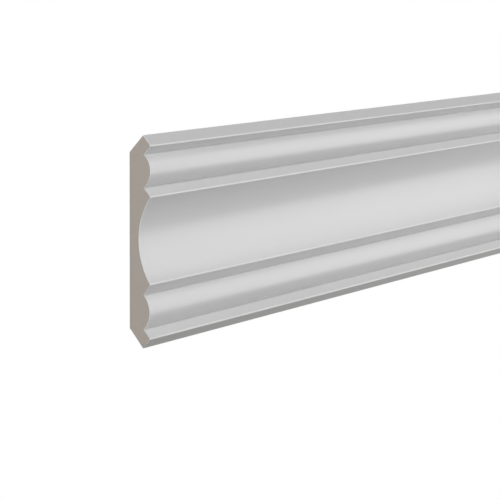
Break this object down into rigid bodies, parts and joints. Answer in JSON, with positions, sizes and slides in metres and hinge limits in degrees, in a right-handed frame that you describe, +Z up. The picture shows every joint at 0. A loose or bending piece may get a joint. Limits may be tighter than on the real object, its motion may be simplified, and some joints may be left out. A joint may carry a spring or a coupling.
{
  "type": "crown moulding piece",
  "caption": "Straight length of crown moulding, primed white, with a wide cove between two beads; fixed at 45 degrees in the corner of a wall and a ceiling.",
  "frame": {"origin": "middle of the long flat that bears on the wall, half-way along the run", "axes": "+X along the run, +Y into the wall, +Z up to the ceiling; the moulded face looks down and out into the room, between -Y and -Z"},
  "size_m": [0.45, 0.0943, 0.0943],
  "materials": {
    "primer": "satin"
  },
  "bodies": {
    "root": {"moulding": "primer"}
  },
  "joints": []
}
